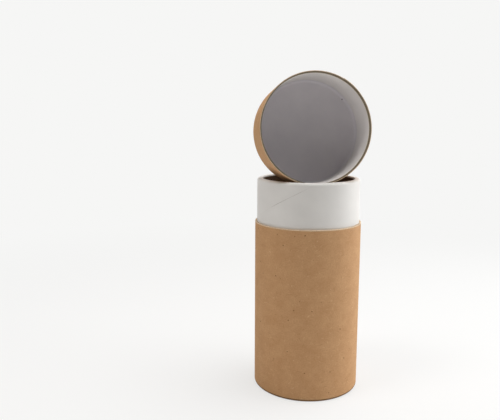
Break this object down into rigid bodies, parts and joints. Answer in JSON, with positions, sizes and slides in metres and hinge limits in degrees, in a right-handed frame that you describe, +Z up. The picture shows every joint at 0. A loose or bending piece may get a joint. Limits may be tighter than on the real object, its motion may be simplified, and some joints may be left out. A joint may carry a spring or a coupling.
{
  "type": "cardboard deodorant tube",
  "caption": "Round kraft board push-up tube with a white rounded neck, a disc that slides inside it, and a pull-off cap lying on its side in the open mouth.",
  "frame": {"origin": "centre of the tube's base, on the surface it stands on", "axes": "+Z up along the tube's axis, -Y to the front, where the lying cap's mouth faces"},
  "size_m": [0.0491, 0.047, 0.1399],
  "materials": {
    "kraft_sleeve": "matte kraft paper",
    "white_tube": "smooth white paper",
    "disc_board": "matte grey board",
    "kraft_cap": "matte kraft paper, white inside",
    "cap_disc_board": "white paper inside, kraft outside"
  },
  "bodies": {
    "tube": {"outer_sleeve": "kraft_sleeve", "inner_tube": "white_tube", "cap_wall": "kraft_cap", "cap_top_disc": "cap_disc_board"},
    "push_up": {"push_up_disc": "disc_board"}
  },
  "joints": [
    {"name": "push_up", "type": "slide", "parent": "tube", "child": "push_up", "axis": [0, 0, 1], "range_m": [-0.08155, 0]}
  ]
}
